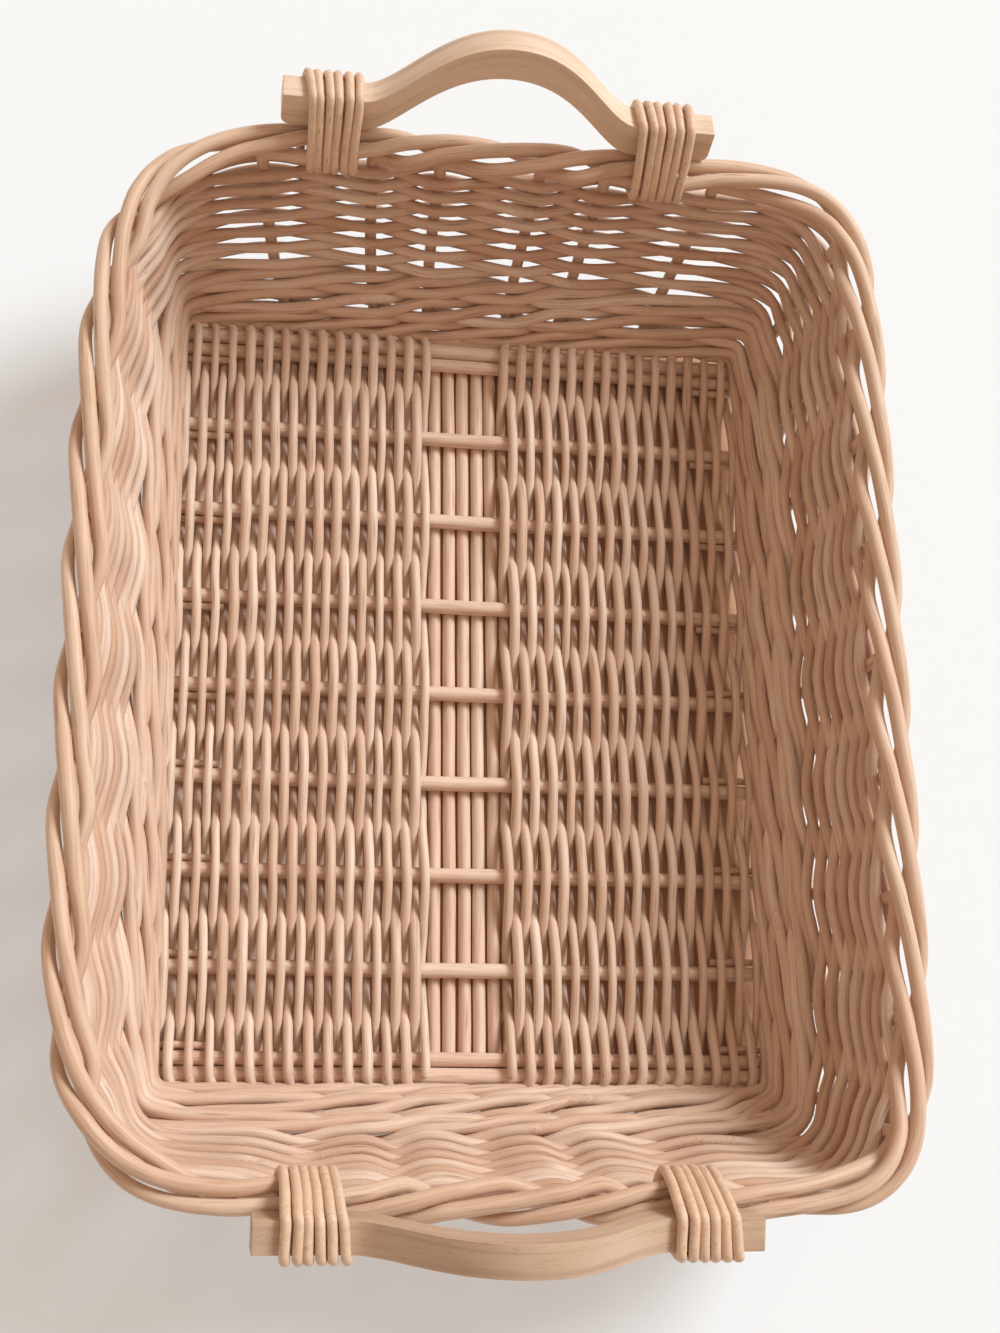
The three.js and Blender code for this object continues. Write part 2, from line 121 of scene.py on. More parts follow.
# Rods are laid without the room that the CAD keeps between them: stakes are a little thinner, the other
# rods swell by these shares, and wall rods press into each other by this depth
STAKE_THINNING = 0.93
CENTRE_ROD_SWELL = 1.08
LEAST_MAT_SWELL = 1.12
MOST_MAT_SWELL = 1.5
WALE_SWELL = 1.36
WEAVER_SWELL = 1.4
LASHING_SWELL = 1.22
PRESSED = 0.9

# Other sizes and counts of the looks alone
CENTRE_ROD_LIFT = 0.3
MAT_THICKEST = 1.25
STRAIGHT_RISE = 24
LONG_SIDE_RISE_START = 1.5 * STAKE
END_RISE_START = STAKE
STAKE_TOP_DROP = 8
BLUNT_END = 0.6
THIN_END = 0.5
NEAR_THIN_END = 0.85
WALE_STEP = 2.5
WALE_ROW_PITCH = 7.3
WEAVER_WAVE_POWER = 1.4
LASHING_SLIP = 0.9
LASHING_SPREAD = 1.04
LASHING_NARROWING = 0.16
STRAIGHT_POINTS = 7
WRAP_STEPS = 6
RISE_POINTS = 5
BORDER_STEPS = 24
WALE_POINTS_PER_STAKE = 4
WEAVER_POINTS_PER_STAKE = 6
TAIL_POINTS = 4
HANDLE_STEPS = 60
HANDLE_CORNER_STEPS = 5
HANDLE_EDGE_STEPS = 4
HANDLE_EDGE_ANGLE = math.radians(40)

# From which tone to which the rods of each kind are drawn, from pale at 0 to tan at 1
STICK_TONES = (0, 0.5)
CENTRE_ROD_TONES = (0.1, 0.6)
MAT_TONES = (0, 0.75)
STAKE_TONES = (0, 0.7)
WALE_TONES = (0.1, 0.8)
WEAVER_TONES = (0, 1)
CANE_TONES = (0.2, 0.5)
# A wale rod or weaver changes its tone after this many stakes, where a new rod is laid in
WALE_JOIN_STAKES = 11.5
WEAVER_JOIN_STAKES = 9.5
JOIN_SHIFT = 2

LONG_SIDE_STAKES = SINGLE_STICKS + 2
STAKE_HALF = STAKE / 2 * STAKE_THINNING
STRIP_HALF_WIDTH = CENTRE_RODS * CENTRE_ROD_PITCH / 2
MAT_RUNS = math.floor((BASE_HALF_WIDTH - STRIP_HALF_WIDTH) / MAT_RUN_PITCH)
OUTER_END_STICK_Y = (SINGLE_STICKS + 1) / 2 * STICK_PITCH + END_STICK_SETBACK
INNER_END_STICK_Y = OUTER_END_STICK_Y - (INNER_END_STICK + OUTER_END_STICK) / 2 - GAP
OVER_STICK = (STICK + MAT_ROD) / 2 + GAP
OVER_END_STICK = (OUTER_END_STICK + MAT_ROD) / 2 + GAP
FLOOR_MIDDLE = OUTER_END_STICK / 2 + GAP + CENTRE_ROD_HEIGHT
FOOT_HALF_X = BASE_HALF_WIDTH + FOOT_OFF_SIDE
FOOT_HALF_Y = OUTER_END_STICK_Y + FOOT_OFF_END_STICK
RIM_HALF_X = FOOT_HALF_X + FLARE_X
RIM_HALF_Y = FOOT_HALF_Y + FLARE_Y
RIM_Z = FLOOR_MIDDLE + RIM_RISE
BORDER_SPREAD = BORDER_ROD + BORDER_SIDE_ROOM
BORDER_HEIGHT = 2 * BORDER_ROD + BORDER_HEIGHT_ROOM
BORDER_START = RIM_Z - BORDER_HEIGHT / 2


# Geometry node trees and shader trees

class Tree:
    """A node tree whose nodes are added, set and linked in one call each."""

    def __init__(self, tree):
        self.tree = tree

    def add(self, kind, *linked, **settings):
        node = self.tree.nodes.new(kind)
        by_name = settings.pop("inputs", {})
        for name, value in settings.items():
            setattr(node, name, value)
        for place, value in [*enumerate(linked), *by_name.items()]:
            self.feed(node.inputs[place], value)
        return node

    def feed(self, socket, value):
        if isinstance(value, bpy.types.NodeSocket):
            self.tree.links.new(value, socket)
        else:
            socket.default_value = value

    def calculate(self, operation, *values):
        return self.add("ShaderNodeMath", *values, operation=operation).outputs[0]

    def ranged(self, value, low, high, to_low, to_high):
        """The value moved from one range to another, and held inside it."""
        return self.add("ShaderNodeMapRange", value, low, high, to_low, to_high).outputs[0]

    def mixed(self, share, first, second):
        node = self.add("ShaderNodeMix", data_type="RGBA")
        self.feed(node.inputs["Factor"], share)
        self.feed(node.inputs[6], first)
        self.feed(node.inputs[7], second)
        return node.outputs[2]

    def attribute(self, name, output="Fac"):
        return self.add("ShaderNodeAttribute", attribute_name=name).outputs[output]


def group_with(name, kind, inputs, outputs):
    """A node group with these sockets, and its input node's sockets by name."""
    group = bpy.data.node_groups.new(name, kind)
    for socket, socket_kind, default in inputs:
        made = group.interface.new_socket(
            name=socket, in_out="INPUT", socket_type="NodeSocket" + socket_kind)
        if default is not None:
            made.default_value = default
    for socket, socket_kind in outputs:
        group.interface.new_socket(
            name=socket, in_out="OUTPUT", socket_type="NodeSocket" + socket_kind)
    tree = Tree(group)
    return tree, tree.add("NodeGroupInput").outputs


def rods_tree():
    """Round rods along paths of edges. Each path point brings its own half thickness."""
    tree, given = group_with("rods along paths", "GeometryNodeTree", [
        ("Paths", "Geometry", None),
        ("Sides", "Int", 10),
        ("Step", "Float", 0.002),
        ("Wander", "Vector", (0, 0, 0)),
        ("Wander Length", "Float", 0.04),
        ("Thickness Change", "Float", 0.1),
        ("Seed", "Float", 1),
        ("Finish", "Material", None),
    ], [("Rods", "Geometry")])
    rod_shift, swelling_shift = 7.31, 50

    def named(attribute):
        return tree.add("GeometryNodeInputNamedAttribute", attribute, data_type="FLOAT").outputs[0]

    curve = tree.add("GeometryNodeMeshToCurve", given["Paths"])
    smooth = tree.add("GeometryNodeCurveSplineType", curve.outputs[0], spline_type="CATMULL_ROM")
    even = tree.add("GeometryNodeResampleCurve", smooth.outputs[0], mode="LENGTH",
                    inputs={"Length": given["Step"]})
    place = tree.add("GeometryNodeInputPosition").outputs[0]
    scale = tree.calculate("DIVIDE", 1, given["Wander Length"])
    own = tree.calculate("MULTIPLY_ADD", named("rod"), rod_shift, given["Seed"])
    noise = tree.add("ShaderNodeTexNoise", noise_dimensions="4D", inputs={
        "Vector": place, "W": own, "Scale": scale, "Detail": 1})
    centred = tree.add("ShaderNodeVectorMath", noise.outputs["Color"], (0.5, 0.5, 0.5),
                       operation="SUBTRACT")
    moved = tree.add("ShaderNodeVectorMath", centred.outputs[0], given["Wander"],
                     operation="MULTIPLY")
    wandering = tree.add("GeometryNodeSetPosition", even.outputs[0],
                         inputs={"Offset": moved.outputs[0]})
    swelling = tree.add("ShaderNodeTexNoise", noise_dimensions="4D", inputs={
        "Vector": place, "W": tree.calculate("ADD", own, swelling_shift), "Scale": scale})
    change = tree.calculate("MULTIPLY", tree.calculate("SUBTRACT", swelling.outputs[0], 0.5),
                            given["Thickness Change"])
    half = tree.calculate("MULTIPLY", named("half_thickness"), tree.calculate("ADD", change, 1))
    length = tree.add("GeometryNodeSplineParameter").outputs["Length"]
    with_length = tree.add("GeometryNodeStoreNamedAttribute", wandering.outputs[0],
                           data_type="FLOAT", inputs={"Name": "rod_length", "Value": length})
    ring = tree.add("GeometryNodeCurvePrimitiveCircle", given["Sides"], inputs={"Radius": 1})
    ring_place = tree.add("GeometryNodeInputPosition").outputs[0]
    with_round = tree.add("GeometryNodeStoreNamedAttribute", ring.outputs[0],
                          data_type="FLOAT_VECTOR",
                          inputs={"Name": "rod_round", "Value": ring_place})
    tubes = tree.add("GeometryNodeCurveToMesh", with_length.outputs[0], with_round.outputs[0],
                     inputs={"Scale": half, "Fill Caps": True})
    plain = tree.add("GeometryNodeRealizeInstances", tubes.outputs[0])
    whole = tree.add("GeometryNodeSetShadeSmooth", plain.outputs[0])
    done = tree.add("GeometryNodeSetMaterial", whole.outputs[0],
                    inputs={"Material": given["Finish"]})
    tree.add("NodeGroupOutput", done.outputs[0])
    return tree.tree


def placed(name, data):
    """A new object in the scene."""
    made = bpy.data.objects.new(name, data)
    bpy.context.scene.collection.objects.link(made)
    return made


def apply_modifiers(piece):
    seen = piece.evaluated_get(bpy.context.evaluated_depsgraph_get())
    made = bpy.data.meshes.new_from_object(seen)
    piece.modifiers.clear()
    piece.data = made


def grown(name, mesh, tree, **inputs):
    """A plain mesh object from a geometry node tree on this mesh."""
    piece = placed(name, mesh)
    modifier = piece.modifiers.new("shape", "NODES")
    modifier.node_group = tree
    sockets = {item.name.lower().replace(" ", "_"): item.identifier
               for item in tree.interface.items_tree if item.in_out == "INPUT"}
    for socket, value in inputs.items():
        modifier[sockets[socket]] = value
    apply_modifiers(piece)
    piece.data.name = name
    return piece


Point = namedtuple("Point", "place half tone")


def add_rod(name, path, finish, made_of="willow", slot="willow", **inputs):
    """A rod along a path of points, as the piece that stands for the CAD node of this name."""
    piece_name = f"{made_of}_{name}"
    mesh = bpy.data.meshes.new(piece_name + "_path")
    edges = [(i, i + 1) for i in range(len(path) - 1)]
    mesh.from_pydata([point.place * MM for point in path], edges, [])
    rod_number = draw.uniform(0, 100)
    for attribute, values in {
        "half_thickness": [point.half * MM for point in path],
        "tone": [point.tone for point in path],
        "rod": [rod_number] * len(path),
    }.items():
        mesh.attributes.new(attribute, "FLOAT", "POINT").data.foreach_set("value", values)
    piece = grown(piece_name, mesh, RODS, finish=finish, seed=draw.random() * 100, **inputs)
    return fitted(piece, slot, name)


def fitted(piece, slot, *stands_for):
    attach(piece, "root")
    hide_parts(*stands_for)
    return piece


# Finishes

def fibres_group():
    """Long fibres, soft blotches and small knots of a peeled rod, in its own length and round."""
    tree, given = group_with("rod fibres", "ShaderNodeTree", [
        ("Length", "Float", 0),
        ("Round", "Vector", (0, 0, 0)),
        ("Tone", "Float", 0.5),
        ("Fibre Width", "Float", 1),
    ], [("Fibres", "Float"), ("Blotches", "Float"), ("Knots", "Float")])
    tone_shift = 37

    def along(stretch, across):
        around = tree.add("ShaderNodeVectorMath", given["Round"], inputs={"Scale": across},
                          operation="SCALE")
        length = tree.calculate("MULTIPLY", given["Length"], stretch)
        split = tree.add("ShaderNodeSeparateXYZ", around.outputs[0])
        shifted = tree.calculate("MULTIPLY_ADD", given["Tone"], tone_shift, length)
        return tree.add("ShaderNodeCombineXYZ", shifted, *split.outputs[:2]).outputs[0]

    fibres = tree.add("ShaderNodeTexNoise", along(45, 3.2),
                      inputs={"Scale": given["Fibre Width"], "Detail": 3})
    blotches = tree.add("ShaderNodeTexNoise", along(14, 0.5), inputs={"Scale": 1, "Detail": 2})
    knots = tree.add("ShaderNodeTexVoronoi", along(21, 0.75), inputs={"Scale": 1})
    near = tree.ranged(knots.outputs["Distance"], 0.05, 0.2, 1, 0)
    tree.add("NodeGroupOutput", fibres.outputs[0], blotches.outputs[0], near)
    return tree.tree


def linear(colour):
    """A colour written in sRGB from 0 to 255."""
    def channel(value):
        value /= 255
        return value / 12.92 if value <= 0.04045 else ((value + 0.055) / 1.055) ** 2.4
    return (*map(channel, colour), 1)


def new_material(name):
    """A new material, its node tree and its shader."""
    material = bpy.data.materials.new(name)
    material.use_nodes = True
    return material, Tree(material.node_tree), material.node_tree.nodes["Principled BSDF"]


def rod_finish(name, colours, roughness, fibre_width=1, tone_share=0.6):
    """A peeled rod: pale and tan wood that changes from rod to rod, with brown fibres and knots."""
    line_share, knot_share, knot_depth = 0.45, 0.55, 0.6
    pale, tan, brown = map(linear, colours)
    material, tree, shader = new_material(name)
    fibres = tree.add("ShaderNodeGroup", node_tree=FIBRES)
    tree.feed(fibres.inputs["Length"], tree.attribute("rod_length"))
    tree.feed(fibres.inputs["Round"], tree.attribute("rod_round", "Vector"))
    tone = tree.attribute("tone")
    tree.feed(fibres.inputs["Tone"], tone)
    tree.feed(fibres.inputs["Fibre Width"], fibre_width)
    streaks, blotches, knots = fibres.outputs
    blotch = tree.ranged(blotches, 0.35, 0.7, 0, 1 - tone_share)
    tan_share = tree.calculate("ADD", tree.calculate("MULTIPLY", tone, tone_share), blotch)
    wood = tree.mixed(tan_share, pale, tan)
    lined = tree.mixed(tree.ranged(streaks, 0.5, 0.78, 0, line_share), wood, brown)
    coloured = tree.mixed(tree.calculate("MULTIPLY", knots, knot_share), lined, brown)
    tree.feed(shader.inputs["Base Color"], coloured)
    tree.feed(shader.inputs["Roughness"],
              tree.ranged(streaks, 0.3, 0.7, roughness - 0.07, roughness + 0.1))
    height = tree.calculate("SUBTRACT", streaks, tree.calculate("MULTIPLY", knots, knot_depth))
    relief = tree.add("ShaderNodeBump", inputs={
        "Strength": 0.6, "Distance": 0.12 * MM, "Height": height})
    tree.feed(shader.inputs["Normal"], relief.outputs[0])
    tree.feed(shader.inputs["Specular IOR Level"], 0.4)
    tree.feed(shader.inputs["Sheen Weight"], 0.12)
    return material


def bent_wood_finish(name, colours):
    """Smooth bent wood, whose grain runs along the bend."""
    line_share, fleck_share = 0.5, 0.35
    pale, tan, brown = map(linear, colours)
    material, tree, shader = new_material(name)
    place = tree.attribute("grain", "Vector")

    def grain(stretch, **inputs):
        stretched = tree.add("ShaderNodeMapping", place, inputs={"Scale": stretch})
        return tree.add("ShaderNodeTexNoise", stretched.outputs[0],
                        inputs={"Scale": 1, **inputs}).outputs[0]

    bands = grain((10, 420, 260), Detail=4, Distortion=0.4)
    clouds = grain((16, 55, 45), Detail=2)
    flecks = grain((260, 1500, 1500), Detail=1)
    wood = tree.mixed(tree.ranged(clouds, 0.35, 0.7, 0, 1), pale, tan)
    lined = tree.mixed(tree.ranged(bands, 0.5, 0.75, 0, line_share), wood, brown)
    coloured = tree.mixed(tree.ranged(flecks, 0.62, 0.75, 0, fleck_share), lined, brown)
    tree.feed(shader.inputs["Base Color"], coloured)
    tree.feed(shader.inputs["Roughness"], tree.ranged(bands, 0.3, 0.7, 0.4, 0.53))
    relief = tree.add("ShaderNodeBump", inputs={
        "Strength": 0.5, "Distance": 0.06 * MM, "Height": bands})
    tree.feed(shader.inputs["Normal"], relief.outputs[0])
    tree.feed(shader.inputs["Specular IOR Level"], 0.45)
    return material


RODS = rods_tree()
FIBRES = fibres_group()
# The colours are those of pale wood, tan wood and brown fibres, and the numbers are the roughness
WILLOW = rod_finish(
    "peeled_willow", ((232, 210, 194), (200, 161, 135), (139, 94, 68)), 0.56, tone_share=0.75)
STICK_WOOD = rod_finish(
    "peeled_willow_sticks", ((235, 211, 195), (211, 173, 149), (147, 102, 74)), 0.52)
STAKE_WOOD = rod_finish(
    "peeled_willow_stakes", ((226, 200, 179), (203, 164, 137), (142, 96, 68)), 0.54)
CANE = rod_finish(
    "lashing_cane", ((233, 208, 185), (214, 178, 149), (146, 102, 72)), 0.46, fibre_width=1.6)
HANDLE_WOODS = {
    "handle_back": bent_wood_finish(
        "bent_wood_pale", ((234, 213, 192), (218, 192, 169), (178, 142, 115))),
    # The front handle's wood is painted darker than the back one's: painted shade for a handle that
    # faces away from the light
    "handle_front": bent_wood_finish(
        "bent_wood_brown", ((204, 178, 156), (189, 159, 136), (154, 117, 92))),
}


# Base

def tone_between(low, high):
    return low + (high - low) * draw.random()


def straight(start, end, half, tone):
    last = STRAIGHT_POINTS - 1
    return [Point(start.lerp(end, i / last), half, tone) for i in range(STRAIGHT_POINTS)]


def mat_run_x(run):
    return STRIP_HALF_WIDTH + (run + 0.5) * MAT_RUN_PITCH


def mat_side(run, stick):
    """Over (1) or under (-1) the stick at this place, counted from the middle one."""
    return 1 if (run + stick + (SINGLE_STICKS + 1) / 2) % 2 == 0 else -1


def add_stick(name, y, diameter):
    half_length = BASE_HALF_WIDTH - STICK_END_MARGIN
    ends = [Vector((side * half_length, y, FLOOR_MIDDLE)) for side in (-1, 1)]
    add_rod(name, straight(*ends, diameter / 2, tone_between(*STICK_TONES)), STICK_WOOD,
            sides=16, step=0.003, wander=(0, 0.0012, 0.0005), wander_length=0.07,
            thickness_change=0.1)


def add_centre_rod(name, x):
    half = CENTRE_ROD_WIDTH / 2 * CENTRE_ROD_SWELL
    y = OUTER_END_STICK_Y + OUTER_END_STICK / 2 + CENTRE_ROD_OVERHANG
    ends = [Vector((x, side * y, half + CENTRE_ROD_LIFT)) for side in (-1, 1)]
    add_rod(name, straight(*ends, half, tone_between(*CENTRE_ROD_TONES)), STICK_WOOD,
            sides=14, step=0.003, wander=(0.002, 0, 0), wander_length=0.09,
            thickness_change=0.16)


def wrap_points(x_from, x_to, end, top, half, tone_from, tone_to):
    """Half a turn round the outer end stick, from one run to the next."""
    points = []
    for i in range(1, WRAP_STEPS):
        angle = math.pi * (0.5 - i / WRAP_STEPS)
        share = i / WRAP_STEPS
        points.append(Point(Vector((
            x_from + (x_to - x_from) * share,
            end * (OUTER_END_STICK_Y + OVER_END_STICK * math.cos(angle)),
            FLOOR_MIDDLE + top * OVER_END_STICK * math.sin(angle),
        )), half, tone_from + (tone_to - tone_from) * share))
    return points


def add_mat(name, side):
    """One long rod back and forth, over and under the sticks, wrapped round the outer ones."""
    half_count = (SINGLE_STICKS - 1) // 2
    path, tone = [], tone_between(*MAT_TONES)
    for run in range(MAT_RUNS):
        x = side * mat_run_x(run)
        next_x = side * mat_run_x(run + 1)
        heading = 1 if run % 2 == 0 else -1
        half = MAT_ROD / 2 * draw.uniform(LEAST_MAT_SWELL, MOST_MAT_SWELL)
        end_side = mat_side(run, half_count + 1)
        end_z = FLOOR_MIDDLE + end_side * OVER_END_STICK
        next_tone = tone_between(*MAT_TONES)
        ends = [(-OUTER_END_STICK_Y, end_z), (-INNER_END_STICK_Y, end_z)]
        middle = [(stick * STICK_PITCH, FLOOR_MIDDLE + mat_side(run, stick) * OVER_STICK)
                  for stick in range(-half_count, half_count + 1)]
        keys = [*ends, *middle, *[(-y, z) for y, z in reversed(ends)]]
        path += [Point(Vector((x, heading * y, z)), half, tone) for y, z in keys]
        if run + 1 < MAT_RUNS:
            path += wrap_points(x, next_x, heading, end_side, half, tone, next_tone)
        tone = next_tone
    # Its lowest points keep to the floor, also where the rod swells along its length
    for point in path:
        point.place.z = max(point.place.z, point.half * MAT_THICKEST)
    add_rod(name, path, WILLOW, sides=8, step=0.0025, wander=(0.0026, 0, 0.0003),
            wander_length=0.034, thickness_change=0.4)


# Wall surface

FOOT_WIDTH = 2 * FOOT_HALF_X
FOOT_LENGTH = 2 * FOOT_HALF_Y
FOOT_AROUND = 2 * (FOOT_WIDTH + FOOT_LENGTH)

Stake = namedtuple("Stake", "side number along distance")


def all_stakes():
    """Stakes clockwise from the front right corner, with their distance along the foot."""
    runs = [mat_run_x(run) for run in END_STAKE_RUNS]
    end_xs = [-x for x in reversed(runs)] + runs
    long_ys = [(i - (LONG_SIDE_STAKES - 1) / 2) * STICK_PITCH for i in range(LONG_SIDE_STAKES)]
    sides = [
        ("front", -1, end_xs, FOOT_HALF_X),
        ("left", 1, long_ys, FOOT_WIDTH + FOOT_HALF_Y),
        ("back", 1, end_xs, FOOT_WIDTH + FOOT_LENGTH + FOOT_HALF_X),
        ("right", -1, long_ys, FOOT_AROUND - FOOT_HALF_Y),
    ]
    return [Stake(side, number + 1, sign * along, along + before)
            for side, sign, places, before in sides for number, along in enumerate(places)]


STAKES = all_stakes()
STAKE_COUNT = len(STAKES)


def stake_distance(index):
    turn, within = divmod(index, STAKE_COUNT)
    return STAKES[within].distance + turn * FOOT_AROUND


def foot_share(place):
    """The point of the foot rectangle at a place counted in stakes, as shares of its half sizes."""
    index = math.floor(place)
    start = stake_distance(index)
    left = (start + (stake_distance(index + 1) - start) * (place - index)) % FOOT_AROUND
    if left < FOOT_WIDTH:
        return 1 - left / FOOT_HALF_X, -1
    left -= FOOT_WIDTH
    if left < FOOT_LENGTH:
        return -1, left / FOOT_HALF_Y - 1
    left -= FOOT_LENGTH
    if left < FOOT_WIDTH:
        return left / FOOT_HALF_X - 1, 1
    return 1, 1 - (left - FOOT_WIDTH) / FOOT_HALF_Y


def outline(share, half_x, half_y, power):
    scale = (abs(share[0]) ** power + abs(share[1]) ** power) ** (-1 / power)
    return Vector((half_x * scale * share[0], half_y * scale * share[1], 0))


def flare(z):
    """The CAD's flare, but the wall first rises straight from the base, close beside it."""
    t = (z - FLOOR_MIDDLE) / RIM_RISE
    eased = 1 - (1 - t) ** 2 if t < 1 else 1
    rise = min(1, max(0, (z - FLOOR_MIDDLE) / STRAIGHT_RISE))
    return ((1 - WALL_BULGE) * t + WALL_BULGE * eased) * rise ** 2 * (3 - 2 * rise)


def middle_surface(place, z):
    share = foot_share(place)
    foot = outline(share, FOOT_HALF_X, FOOT_HALF_Y, FOOT_CORNER_POWER)
    corner = "left" if share[0] < 0 else "right", "front" if share[1] < 0 else "back"
    rim = outline(share, RIM_HALF_X, RIM_HALF_Y, RIM_CORNER_POWERS[corner])
    return foot.lerp(rim, flare(z)) + Vector((0, 0, z))


def wall_point(place, z, outwards):
    small = 0.01
    along = middle_surface(place + small, z) - middle_surface(place - small, z)
    upward = middle_surface(place, z + small) - middle_surface(place, z - small)
    return middle_surface(place, z) + upward.cross(along).normalized() * outwards


def smooth_between(keys, at):
    """Values at a place between keys, each a place and its values, without overshoot."""
    last = max(i for i, key in enumerate(keys[:-1]) if key[0] <= at or i == 0)
    span = keys[last + 1][0] - keys[last][0]
    share = min(1, max(0, (at - keys[last][0]) / span))

    def slope(i, value):
        if i == 0 or i == len(keys) - 1:
            return 0
        before = (keys[i][1][value] - keys[i - 1][1][value]) / (keys[i][0] - keys[i - 1][0])
        after = (keys[i + 1][1][value] - keys[i][1][value]) / (keys[i + 1][0] - keys[i][0])
        return 0 if before * after <= 0 else 2 * before * after / (before + after)

    values = []
    for value in range(len(keys[0][1])):
        a, b = keys[last][1][value], keys[last + 1][1][value]
        start, end = slope(last, value) * span, slope(last + 1, value) * span
        values.append(
            a * (1 + 2 * share) * (1 - share) ** 2 + start * share * (1 - share) ** 2
            + b * share ** 2 * (3 - 2 * share) - end * share ** 2 * (1 - share))
    return values


# Stakes, whose tops are the border

# Each row gives the stakes passed and the rod's place out from the wall and up the border, as shares of
# the border's spread and height
BORDER_ROUTE = [(step, (out * BORDER_SPREAD, BORDER_START + up * BORDER_HEIGHT))
                for step, out, up in (
    (0, 0, 0.2),
    (0.5, -0.9, 0.55),
    (1, -0.5, 0.86),
    (1.5, 0, 1),
    (2, 0.5, 0.93),
    (2.5, 0.95, 0.62),
    (3, 0.5, 0.3),
)]


def long_side_foot(stake):
    """The stake's foot beside a cross stick, or beside the inner end stick."""
    outward = 1 if stake.side == "right" else -1
    number = round(stake.along / STICK_PITCH)
    at_end = abs(number) == (LONG_SIDE_STAKES - 1) / 2
    beside = math.copysign(INNER_END_STICK_Y, number) if at_end else stake.along
    diameter = INNER_END_STICK if at_end else STICK
    towards_middle = -math.copysign(1, number) if number else outward
    y = beside + towards_middle * (diameter / 2 + GAP + STAKE_FOOT / 2)
    return [
        Vector((outward * (BASE_HALF_WIDTH - LONG_SIDE_FOOT_REACH), y, FLOOR_MIDDLE)),
        Vector((outward * BASE_HALF_WIDTH, y, FLOOR_MIDDLE)),
        Vector((outward * (FOOT_HALF_X - GAP), (y + stake.along) / 2, FLOOR_MIDDLE + GAP)),
    ]


def end_foot(stake):
    """The stake's foot under the outer end stick."""
    outward = 1 if stake.side == "back" else -1
    z = FLOOR_MIDDLE - OUTER_END_STICK / 2 - GAP - STAKE_FOOT / 2
    return [Vector((stake.along, outward * y, z)) for y in
            (OUTER_END_STICK_Y - END_FOOT_REACH, OUTER_END_STICK_Y, FOOT_HALF_Y - STAKE)]


def add_stake(index):
    stake = STAKES[index]
    tone = tone_between(*STAKE_TONES)
    if stake.side in ("left", "right"):
        foot, start = long_side_foot(stake), FLOOR_MIDDLE + LONG_SIDE_RISE_START
    else:
        foot, start = end_foot(stake), FLOOR_MIDDLE + END_RISE_START
    path = [Point(place, STAKE_FOOT / 2, tone) for place in foot]
    top = BORDER_ROUTE[0][1][1] - STAKE_TOP_DROP
    for i in range(RISE_POINTS):
        z = start + (top - start) * i / (RISE_POINTS - 1)
        path.append(Point(wall_point(index, z, 0), STAKE_HALF, tone))
    last_step = BORDER_ROUTE[-1][0]
    for i in range(BORDER_STEPS + 1):
        step = last_step * i / BORDER_STEPS
        out, z = smooth_between(BORDER_ROUTE, step)
        tip = max(0, step - last_step + 1)
        half = BORDER_ROD / 2 + (BORDER_TIP - BORDER_ROD) / 2 * tip
        if i == BORDER_STEPS:
            half *= BLUNT_END
        path.append(Point(wall_point(index + step, z, out), half, tone))
    add_rod(f"stake_{stake.side}_{stake.number}", path, STAKE_WOOD,
            sides=12, step=0.003, wander=(0.0006, 0.0006, 0.0006), wander_length=0.05,
            thickness_change=0.1)


# Rows of weaving

def turns_climbed(place):
    """Rows stay level, and rods climb in the last gap before the front right corner."""
    turn = math.floor(place / STAKE_COUNT)
    into_gap = place - turn * STAKE_COUNT - (STAKE_COUNT - 1)
    share = (into_gap - CLIMB_START) / (CLIMB_END - CLIMB_START)
    return turn + min(1, max(0, share))


def level_along(place, turns):
    """Turns climbed, but both ends of a rod lie level in the gap where the others climb."""
    return min(turns - 1, max(0, turns_climbed(place)))


def places_along(turns, per_stake):
    last = turns * STAKE_COUNT - 1
    first = -math.floor(START_TAIL * per_stake)
    inner = [i / per_stake for i in range(first, last * per_stake + 1)]
    beyond = [last + END_TAIL * i / TAIL_POINTS for i in range(1, TAIL_POINTS + 1)]
    return [-START_TAIL, *inner, *beyond]


def narrowed(path):
    """The same rod with thinner ends."""
    last = len(path) - 1
    shares = {0: THIN_END, 1: NEAR_THIN_END, last - 1: NEAR_THIN_END, last: THIN_END}
    return [point._replace(half=point.half * shares.get(i, 1)) for i, point in enumerate(path)]


def changing_tones(places, limits, every):
    """A tone at each place that changes where a new rod goes on, after this many stakes."""
    count = math.ceil(max(places) / every) + 2
    own = [tone_between(*limits) for _ in range(count)]
    return [own[math.floor(place / every)] for place in places]


WALE_OUT = STAKE_HALF + WALE_ROD / 2 * WALE_SWELL - PRESSED
WALE_FIRST_Z = FLOOR_MIDDLE + STAKE_FOOT / 2 + WALE_ROD / 2 + WALE_STEP
# How far out and up a wale rod lies at each half step between stakes, inside two and outside the third
WALE_PERIOD = 2 * WALE_RODS
WALE_ROUTE = list(enumerate(
    [(-0.85, -1), (-1, -1), (-1, 0), (-1, 1), (0, 1), (1, 0), (-0.85, -1), (-1, -1), (-1, 0)],
    start=-1))


def add_wale_rod(rod):
    """One of the rods that twist round the stakes, each a stake ahead of the one before."""
    places = places_along(WALE_ROWS, WALE_POINTS_PER_STAKE)
    own_tones = changing_tones(places, WALE_TONES, WALE_JOIN_STAKES + JOIN_SHIFT * rod)
    path = []
    for place, tone in zip(places, own_tones):
        out, up = smooth_between(WALE_ROUTE, (place + rod) * 2 % WALE_PERIOD)
        z = WALE_FIRST_Z + level_along(place, WALE_ROWS) * WALE_ROW_PITCH + up * WALE_STEP
        path.append(Point(wall_point(place, z, out * WALE_OUT), WALE_ROD / 2 * WALE_SWELL, tone))
    add_rod(f"foot_wale_rod_{rod + 1}", narrowed(path), WILLOW, slot="willow_wale",
            sides=10, step=0.0025, wander=(0.0006, 0.0006, 0.0006), wander_length=0.03,
            thickness_change=0.2)


